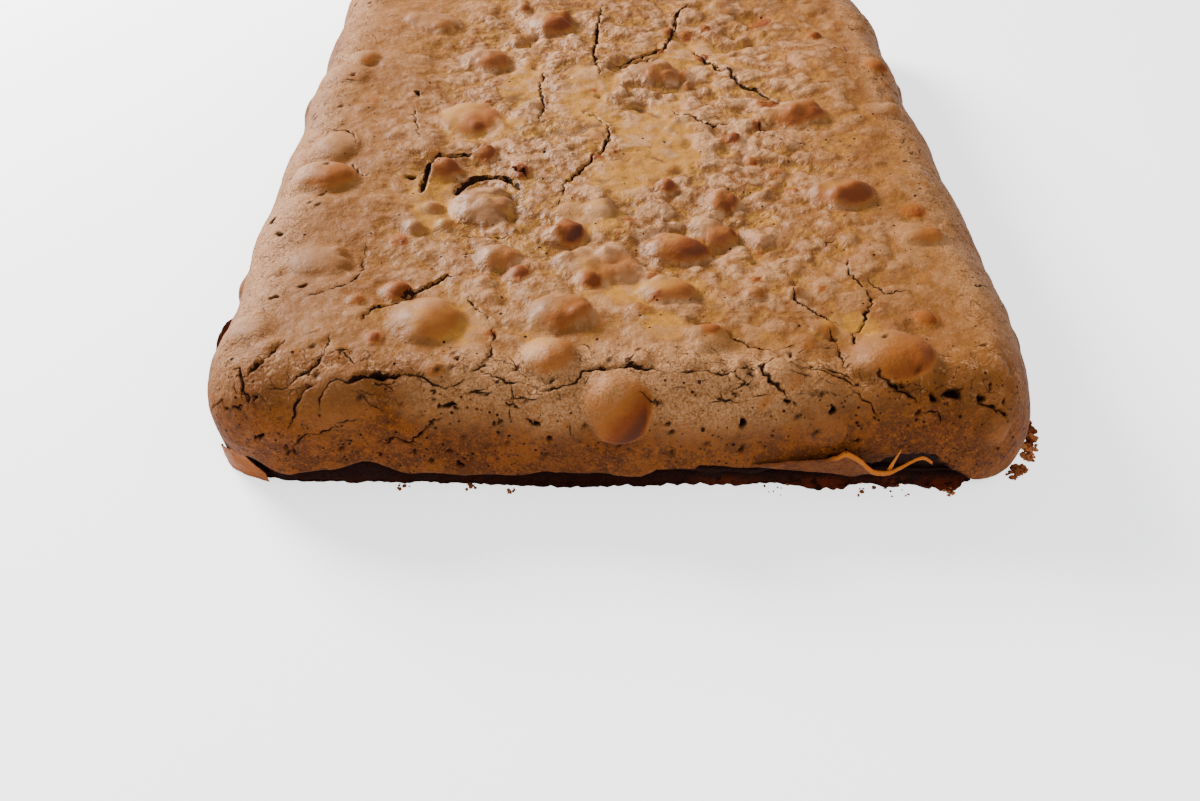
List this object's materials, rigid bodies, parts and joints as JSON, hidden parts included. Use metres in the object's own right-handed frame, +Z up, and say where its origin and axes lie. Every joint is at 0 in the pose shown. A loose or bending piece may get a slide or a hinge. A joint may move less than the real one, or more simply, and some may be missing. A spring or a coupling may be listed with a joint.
{
  "type": "uncut chocolate brownie slab",
  "caption": "Uncut rectangular slab of baked chocolate brownie with rounded corners, a crackled and blistered skin, and a flat underside to rest on.",
  "frame": {"origin": "centre of the slab's footprint on the surface it rests on", "axes": "+X runs to the right along the front edge, +Y runs from the front edge to the back, +Z is up"},
  "size_m": [0.2006, 0.2506, 0.0342],
  "materials": {
    "baked_skin": "dry, thin and crackled baked skin, tan to chestnut brown, satin in the middle and matt at the rim, over a dark moist crumb"
  },
  "bodies": {
    "root": {"brownie": "baked_skin"}
  },
  "joints": []
}
